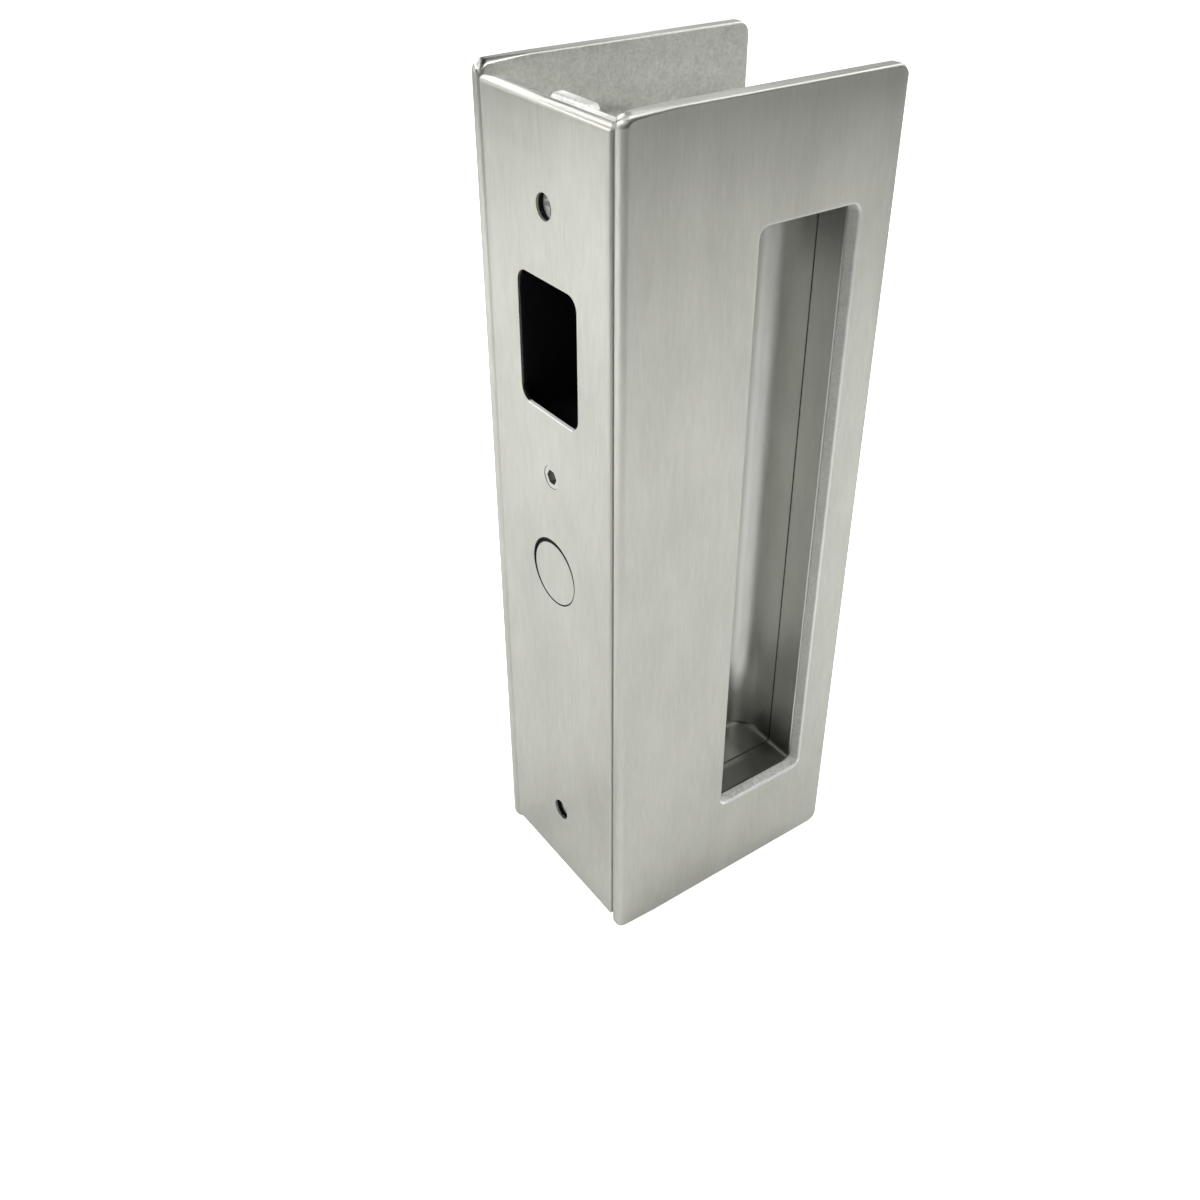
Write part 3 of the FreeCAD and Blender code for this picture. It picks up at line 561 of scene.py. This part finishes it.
def pull_painted_light_mask(tree, from_web, deep, high):
    """Where a pull is painted lighter, as painted light: the front of its floor, and the foot of its
    rounding.
    """
    floor = spread(tree, from_web, *FLOOR_FADE, 1.0, 0.0)
    front = spread(tree, deep, *FLOOR_FRONT_FADE, 1.0, 0.0)
    foot = spread(tree, high, *FOOT_FADE, 0.0, 1.0, smooth=True)
    rounding = spread(tree, from_web, *ROUNDING_FADE, 1.0, ROUNDING_SHINE_OUTSIDE)
    return largest(tree, times(tree, floor, front), times(tree, foot, rounding))


def pull_painted_shade_mask(tree, from_web, deep, high):
    """Where a pull is painted darker, as painted shade: its end walls, and both ends of its back wall.
    """
    end = spread(tree, apart(tree, high, HANDLE_MIDDLE), *END_WALL_FADE, 0.0, 1.0)
    behind = spread(tree, deep, *END_WALL_DEPTHS, END_WALL_PAINTED_SHADE_IN_FRONT, END_WALL_PAINTED_SHADE)
    outside = spread(tree, from_web, *END_WALL_WIDTHS, 0.0, END_WALL_PAINTED_SHADE)
    back_wall = spread(tree, from_web, *BACK_WALL_FADE, 0.0, 1.0, smooth=True)
    upper = spread(tree, high, *BACK_WALL_TOP_FADE, 0.0, BACK_WALL_PAINTED_SHADE, smooth=True)
    lower = spread(tree, high, *BACK_WALL_FOOT_FADE, 0.0, BACK_WALL_PAINTED_SHADE, smooth=True)
    return largest(tree, times(tree, end, behind), times(tree, end, outside),
                   times(tree, largest(tree, upper, lower), back_wall))


def cast_nickel():
    """Plated casting: the same nickel, a little greyer, smoothed by hand and hardly brushed."""
    made, tree, shader, point = start_finish("cast_nickel", Metallic=1.0, Anisotropic=0.5)
    lines = use_group(tree, "brushed_lines", {"Point": point, "Hairs a mm": 2.0, "Clouds": 1.0})
    grain = use_group(tree, "plating_grain", {"Point": point, "Grains a mm": 3.0})
    shade = sums(tree, "ADD", times(tree, lines["Shade"], 0.6), times(tree, grain["Shade"], 0.4))
    across, deep, high = split(tree, point)
    from_web = sums(tree, "ABSOLUTE", across)
    hollow = times(tree, within(tree, deep, MOUTH_PLACE, MOUTH_HALF_DEPTH + PULL_MARGIN_Y),
                   within(tree, high, HANDLE_MIDDLE, MOUTH_HALF_HEIGHT + PULL_MARGIN_Z))
    # Painted light: the front of the floor and the foot of the rounding inside the pulls are made
    # lighter
    bright = times(tree, hollow, pull_painted_light_mask(tree, from_web, deep, high))
    # Painted shade: the end walls and both ends of the back wall inside the pulls are made darker
    painted_shade = times(tree, hollow, pull_painted_shade_mask(tree, from_web, deep, high))
    seam = spread(tree, apart(tree, from_web, SEAM_PLACE), *SEAM_FADE, 1.0, 0.0, smooth=True)
    colour = tint(tree, shade, CASTING)
    # Lays on the painted light, the painted shade and the dark seam between the castings
    for mask, tone in ((bright, CASTING_PAINTED_LIGHT), (painted_shade, CASTING_PAINTED_SHADE), (seam, SEAM_DIRT)):
        colour = blend_colours(tree, mask, colour, tone)
    rough = by_shade(tree, shade, *CASTING_ROUGH)
    height = sums(tree, "ADD", lines["Height"], grain["Height"])
    end_finish(tree, shader, colour, rough, height, CASTING_DEPTH)
    return made


def moulded_black():
    """Black moulded plastic with a fine spark texture and a soft gloss."""
    made, tree, shader, point = start_finish("moulded_black", Metallic=0.0)
    grain = use_group(tree, "plating_grain", {"Point": point, "Grains a mm": 5.0})
    colour = blend_colours(tree, grain["Shade"], *BLACK_PLASTIC)
    rough = by_shade(tree, grain["Shade"], *PLASTIC_ROUGH)
    end_finish(tree, shader, colour, rough, grain["Height"], SPARK_DEPTH)
    return made


def turned_metal(name, tones, roughness, metal=1.0):
    """Plated or plain turned metal: fine grain between two tones, duller where it is darker."""
    made, tree, shader, point = start_finish(name, Metallic=metal)
    grain = use_group(tree, "plating_grain", {"Point": point, "Grains a mm": 4.0})
    colour = tint(tree, grain["Shade"], tones)
    rough = by_shade(tree, grain["Shade"], *roughness)
    end_finish(tree, shader, colour, rough, grain["Height"], BRUSH_DEPTH)
    return made


def dress(finish, *nodes):
    """Gives every slot of some nodes the finish."""
    for node in nodes:
        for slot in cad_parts[node].material_slots:
            slot.material = finish


for side_plate in ("side_plate_right", "side_plate_left"):
    dress(brushed_nickel(side_plate, plate_back_and_mouth), side_plate)
dress(brushed_nickel("edge_plate", paint_hole_shade, painted_window_glint), "edge_plate")
dress(brushed_nickel("plunger_cap", paint_disc_rim_shade), "plunger_cap")
dress(cast_nickel(), "core_body", "pull_rim_right", "pull_rim_left")
dress(moulded_black(), "finger_insert")

spring_steel = turned_metal("spring_steel", SPRING_STEEL, (0.34, 0.22))
dress(turned_metal("bright_steel", BRIGHT_STEEL, (0.36, 0.26)), "flush_screw")
dress(turned_metal("head_steel", HEAD_STEEL, (0.52, 0.40), metal=0.4),
      "upper_clamp_screw", "lower_clamp_screw")
dress(turned_metal("zinc_plating", ZINC, (0.40, 0.28)),
      "upper_clamp_nut", "lower_clamp_nut", "rim_screws_right", "rim_screws_left", "core_dowels")
dress(turned_metal("magnet_plating", MAGNET_PLATING, (0.26, 0.16)), "plunger_magnet")
dress(turned_metal("bush_brass", BRASS, (0.38, 0.26)), "plunger_bush")
dress(spring_steel, "plunger_spring")


# The return spring behind the disc

def spring_places(turn):
    """Y of the wire's middle after so many turns: a closed turn, open turns, and a closed turn."""
    length = SPRING_BACK - SPRING_FRONT
    knots = np.cumsum((0.0, CLOSED_TURNS, OPEN_TURNS, CLOSED_TURNS))
    rises = (0.0, CLOSED_PITCH, length - CLOSED_PITCH, length)
    return SPRING_FRONT + np.interp(turn, knots, rises)


def coil_spring():
    """A round wire on a helix about Y, as a grid of turns by angles round the wire.

    The wire's middle is at (R cos a, Y(a), H + R sin a). Its rings lie in the plane of the outward
    direction N = (cos a, 0, sin a) and B = T x N, with T the direction along the wire:
    middle + r (cos p N + sin p B).
    """
    turns = OPEN_TURNS + 2 * CLOSED_TURNS
    steps, around = int(STEPS_A_TURN * turns), STEPS_ROUND_WIRE
    turn = np.linspace(0.0, turns, steps + 1)
    angle = 2 * np.pi * turn
    zero = np.zeros_like(turn)
    out = np.stack((np.cos(angle), zero, np.sin(angle)), axis=1)
    middle = SPRING_RADIUS * out + np.stack((zero, spring_places(turn), zero + DISC_HEIGHT), axis=1)
    along = np.gradient(middle, axis=0)
    along -= out * np.sum(along * out, axis=1, keepdims=True)
    along /= np.linalg.norm(along, axis=1, keepdims=True)
    side = np.cross(along, out)
    phase = (2 * np.pi * np.arange(around) / around)[None, :, None]
    ring = np.cos(phase) * out[:, None, :] + np.sin(phase) * side[:, None, :]
    points = (middle[:, None, :] + WIRE_RADIUS * ring).reshape(-1, 3)
    rows, columns = np.meshgrid(np.arange(steps), np.arange(around), indexing="ij")
    here, beyond = rows * around + columns, rows * around + (columns + 1) % around
    walls = np.stack((here, beyond, beyond + around, here + around), axis=-1).reshape(-1, 4)
    first_end = list(range(around))[::-1]
    last_end = list(range(steps * around, (steps + 1) * around))
    mesh = bpy.data.meshes.new("return_spring")
    mesh.from_pydata(points.tolist(), [], walls.tolist() + [first_end, last_end])
    mesh.polygons.foreach_set("use_smooth", [True] * len(walls) + [False, False])
    mesh.materials.append(spring_steel)
    spring = bpy.data.objects.new("return_spring", mesh)
    bpy.context.scene.collection.objects.link(spring)
    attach(spring, "handle")
    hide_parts("plunger_spring")
    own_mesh(spring)


coil_spring()


# Floor, light and camera

FLOOR_REACH = 4.0
FLOOR_DROP = 0.05 * MM
FLOOR_PAPER = (0.86, 0.86, 0.86, 1.0)
FLOOR_LIFT = 1.0
BACKDROP_STRENGTH = 0.95
ROOM_STRENGTH = 0.01

FOOT = (0.0, 0.0, 0.04)
WAIST = (0.0, 0.0, 0.08)
CHEST = (0.0, 0.0, 0.12)
TOP = (0.0, 0.0, 0.165)
TOP_FRONT = (0.0, -0.02, 0.165)
STRAIGHT_DOWN = None

# Each soft box: azimuth in degrees from +X towards +Y, reach and height in metres, what it faces,
# its two sides in metres, and its watts

SOFT_BOXES = {
    "front_box": (270, 0.50, 0.50, FOOT, (0.40, 0.40), 1.10),
    "rear_box": (90, 0.50, 0.50, FOOT, (0.40, 0.40), 1.36),
    "rear_low_box": (90, 0.70, 0.20, WAIST, (0.30, 0.30), 3.70),
    "front_low_box": (225, 0.70, 0.20, WAIST, (0.30, 0.30), 0.70),
    "top_card": (140, 0.65, 0.50, CHEST, (0.40, 0.55), 0.53),
    "edge_strip": (190, 0.60, 0.45, TOP_FRONT, (0.42, 0.14), 1.80),
    "high_box": (222, 0.30, 0.65, TOP_FRONT, (0.20, 0.20), 0.35),
    "lip_lamp": (40, 0.50, 0.42, WAIST, (0.08, 0.08), 0.07),
    "roof_card": (80, 0.30, 0.62, TOP, (0.45, 0.35), 0.22),
    "bead_card": (320, 0.45, 0.33, TOP, (0.90, 0.16), 0.30),
    "front_spot": (245, 0.42, 0.32, STRAIGHT_DOWN, (0.12, 0.12), 0.90),
    "side_spot": (15, 0.18, 0.32, STRAIGHT_DOWN, (0.12, 0.12), 0.30),
}

CAMERA_PLACE = (0.16025, -0.128807, 0.209507)
CAMERA_TURN = (56.15096, -0.40945, 54.09098)
CAMERA_LENS = 37.552
CAMERA_SHIFT = (-0.02127, -0.03753)
CAMERA_NEAREST = 0.01


def pale_floor():
    """A flat square under the handle. What the camera sees of it is a little lighter."""
    around = ((-1, -1), (1, -1), (1, 1), (-1, 1))
    corners = [(FLOOR_REACH * x, FLOOR_REACH * y, -FLOOR_DROP) for x, y in around]
    mesh = bpy.data.meshes.new("pale_floor")
    mesh.from_pydata(corners, [], [(0, 1, 2, 3)])
    floor = bpy.data.objects.new("pale_floor", mesh)
    bpy.context.scene.collection.objects.link(floor)
    made = bpy.data.materials.new("floor_paper")
    made.use_nodes = True
    tree = made.node_tree
    tree.nodes.clear()
    paper = put(tree, "BsdfDiffuse", {"Color": FLOOR_PAPER})
    seen = put(tree, "LightPath").outputs["Is Camera Ray"]
    lift = put(tree, "Emission", {"Strength": times(tree, seen, FLOOR_LIFT)})
    both = put(tree, "AddShader", {0: paper.outputs[0], 1: lift.outputs[0]})
    tree.links.new(both.outputs[0], put(tree, "OutputMaterial").inputs["Surface"])
    mesh.materials.append(made)


def soft_box(name, azimuth, reach, height, aim, sides, watts):
    """A rectangular area light that stands round the handle and faces aim, or straight down."""
    turn = math.radians(azimuth)
    place = Vector((reach * math.cos(turn), reach * math.sin(turn), height))
    faced = Vector(aim or (place.x, place.y, 0.0))
    light = bpy.data.lights.new(name, "AREA")
    light.shape = "RECTANGLE"
    light.size, light.size_y = sides
    light.energy = watts
    lamp = bpy.data.objects.new(name, light)
    lamp.location = place
    lamp.rotation_euler = (faced - place).to_track_quat("-Z", "Y").to_euler()
    bpy.context.scene.collection.objects.link(lamp)


def dim_room():
    """A dark room for the metal to mirror, with a pale backdrop that only the camera sees."""
    world = bpy.data.worlds.new("studio")
    world.use_nodes = True
    tree = world.node_tree
    background = tree.nodes["Background"]
    background.inputs["Color"].default_value = (1.0, 1.0, 1.0, 1.0)
    seen = put(tree, "LightPath").outputs["Is Camera Ray"]
    strength = sums(tree, "MULTIPLY_ADD", seen, BACKDROP_STRENGTH, ROOM_STRENGTH)
    feed(tree, background.inputs["Strength"], strength)
    bpy.context.scene.world = world


def photo_camera():
    """The camera of the photograph, found from the straight edges of the plates."""
    data = bpy.data.cameras.new("photo_camera")
    data.sensor_width = 36.0
    data.lens = CAMERA_LENS
    data.shift_x, data.shift_y = CAMERA_SHIFT
    data.clip_start = CAMERA_NEAREST
    camera = bpy.data.objects.new("photo_camera", data)
    turn = Euler([math.radians(angle) for angle in CAMERA_TURN]).to_matrix().to_4x4()
    camera.matrix_world = Matrix.Translation(CAMERA_PLACE) @ turn
    bpy.context.scene.collection.objects.link(camera)
    bpy.context.scene.camera = camera


pale_floor()
dim_room()
for name, settings in SOFT_BOXES.items():
    soft_box(name, *settings)
photo_camera()
bpy.context.scene.view_settings.view_transform = "Standard"
